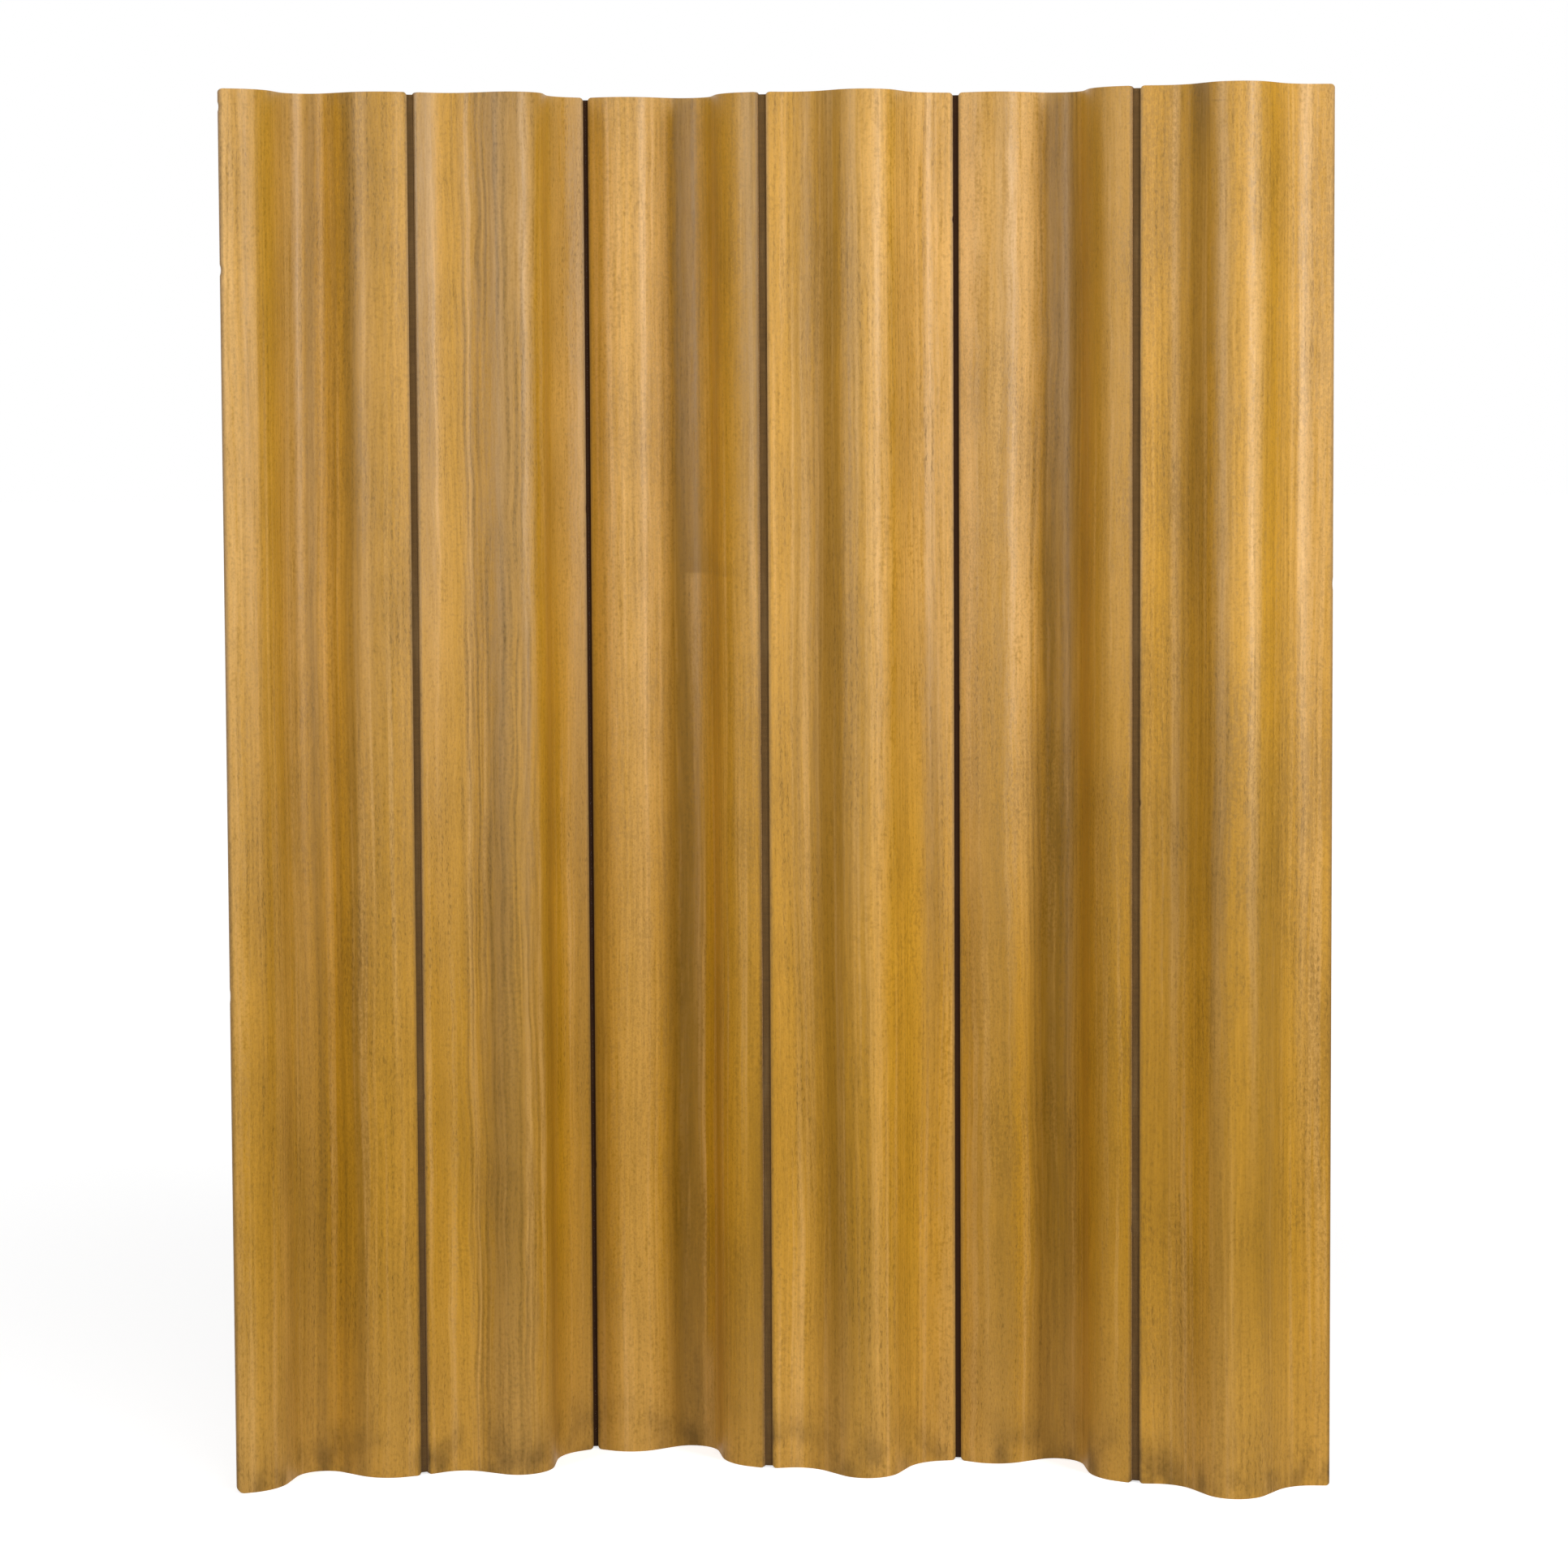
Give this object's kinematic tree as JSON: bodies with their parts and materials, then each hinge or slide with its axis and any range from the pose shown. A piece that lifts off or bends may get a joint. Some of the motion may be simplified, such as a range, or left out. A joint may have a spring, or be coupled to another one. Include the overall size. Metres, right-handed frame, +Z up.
{
  "type": "folding screen",
  "caption": "Tall folding room screen of wavy moulded plywood panels joined edge to edge by full-length canvas hinges, folding flat like an accordion.",
  "frame": {"origin": "centre of the footprint box on the floor, with the screen half open as pictured", "axes": "+Z up along the panels, +X along the row to the viewer's right, +Y away from the viewer"},
  "size_m": [1.3544, 0.2716, 1.727],
  "materials": {
    "face_veneer": "satin clear-coated ash veneer, upright grain",
    "crossband": "bare edge, level grain",
    "core_ply": "bare edge, upright grain",
    "canvas": "woven cotton canvas, aged"
  },
  "bodies": {
    "panel_1": {"panel_1_front_veneer": "face_veneer", "panel_1_front_crossband": "crossband", "panel_1_core": "core_ply", "panel_1_back_crossband": "crossband", "panel_1_back_veneer": "face_veneer", "hinge_1_left_tail": "canvas"},
    "panel_2": {"panel_2_front_veneer": "face_veneer", "panel_2_front_crossband": "crossband", "panel_2_core": "core_ply", "panel_2_back_crossband": "crossband", "panel_2_back_veneer": "face_veneer", "hinge_1_right_tail": "canvas", "hinge_2_left_tail": "canvas"},
    "panel_3": {"panel_3_front_veneer": "face_veneer", "panel_3_front_crossband": "crossband", "panel_3_core": "core_ply", "panel_3_back_crossband": "crossband", "panel_3_back_veneer": "face_veneer", "hinge_2_right_tail": "canvas", "hinge_3_left_tail": "canvas"},
    "panel_4": {"panel_4_front_veneer": "face_veneer", "panel_4_front_crossband": "crossband", "panel_4_core": "core_ply", "panel_4_back_crossband": "crossband", "panel_4_back_veneer": "face_veneer", "hinge_3_right_tail": "canvas", "hinge_4_left_tail": "canvas"},
    "panel_5": {"panel_5_front_veneer": "face_veneer", "panel_5_front_crossband": "crossband", "panel_5_core": "core_ply", "panel_5_back_crossband": "crossband", "panel_5_back_veneer": "face_veneer", "hinge_4_right_tail": "canvas", "hinge_5_left_tail": "canvas"},
    "panel_6": {"panel_6_front_veneer": "face_veneer", "panel_6_front_crossband": "crossband", "panel_6_core": "core_ply", "panel_6_back_crossband": "crossband", "panel_6_back_veneer": "face_veneer", "hinge_5_right_tail": "canvas"},
    "web_1": {"hinge_1_web": "canvas"},
    "web_2": {"hinge_2_web": "canvas"},
    "web_3": {"hinge_3_web": "canvas"},
    "web_4": {"hinge_4_web": "canvas"},
    "web_5": {"hinge_5_web": "canvas"}
  },
  "joints": [
    {"name": "hinge_1_right_fold", "type": "hinge", "parent": "panel_2", "child": "web_1", "pos_m": [-0.4492, -0.00677, 0], "axis": [0, 0, -1], "range_deg": [-93, 83]},
    {"name": "hinge_1_left_fold", "type": "hinge", "parent": "web_1", "child": "panel_1", "pos_m": [-0.45585, -0.01001, 0], "axis": [0, 0, -1], "range_deg": [-93, 83]},
    {"name": "hinge_2_right_fold", "type": "hinge", "parent": "panel_3", "child": "web_2", "pos_m": [-0.23899, 0.11556, 0], "axis": [0, 0, 1], "range_deg": [-115.5, 60.5]},
    {"name": "hinge_2_left_fold", "type": "hinge", "parent": "web_2", "child": "panel_2", "pos_m": [-0.24637, 0.1151, 0], "axis": [0, 0, 1], "range_deg": [-115.5, 60.5]},
    {"name": "hinge_3_left_fold", "type": "hinge", "parent": "panel_3", "child": "web_3", "pos_m": [-0.02282, 0.01931, 0], "axis": [0, 0, 1], "range_deg": [-104.5, 71.5]},
    {"name": "hinge_3_right_fold", "type": "hinge", "parent": "web_3", "child": "panel_4", "pos_m": [-0.01548, 0.01835, 0], "axis": [0, 0, 1], "range_deg": [-104.5, 71.5]},
    {"name": "hinge_4_left_fold", "type": "hinge", "parent": "panel_4", "child": "web_4", "pos_m": [0.21823, 0.05536, 0], "axis": [0, 0, -1], "range_deg": [-106.5, 69.5]},
    {"name": "hinge_4_right_fold", "type": "hinge", "parent": "web_4", "child": "panel_5", "pos_m": [0.22553, 0.05414, 0], "axis": [0, 0, -1], "range_deg": [-106.5, 69.5]},
    {"name": "hinge_5_left_fold", "type": "hinge", "parent": "panel_5", "child": "web_5", "pos_m": [0.43445, -0.05695, 0], "axis": [0, 0, 1], "range_deg": [-100.5, 75.5]},
    {"name": "hinge_5_right_fold", "type": "hinge", "parent": "web_5", "child": "panel_6", "pos_m": [0.44159, -0.05892, 0], "axis": [0, 0, 1], "range_deg": [-100.5, 75.5]}
  ]
}
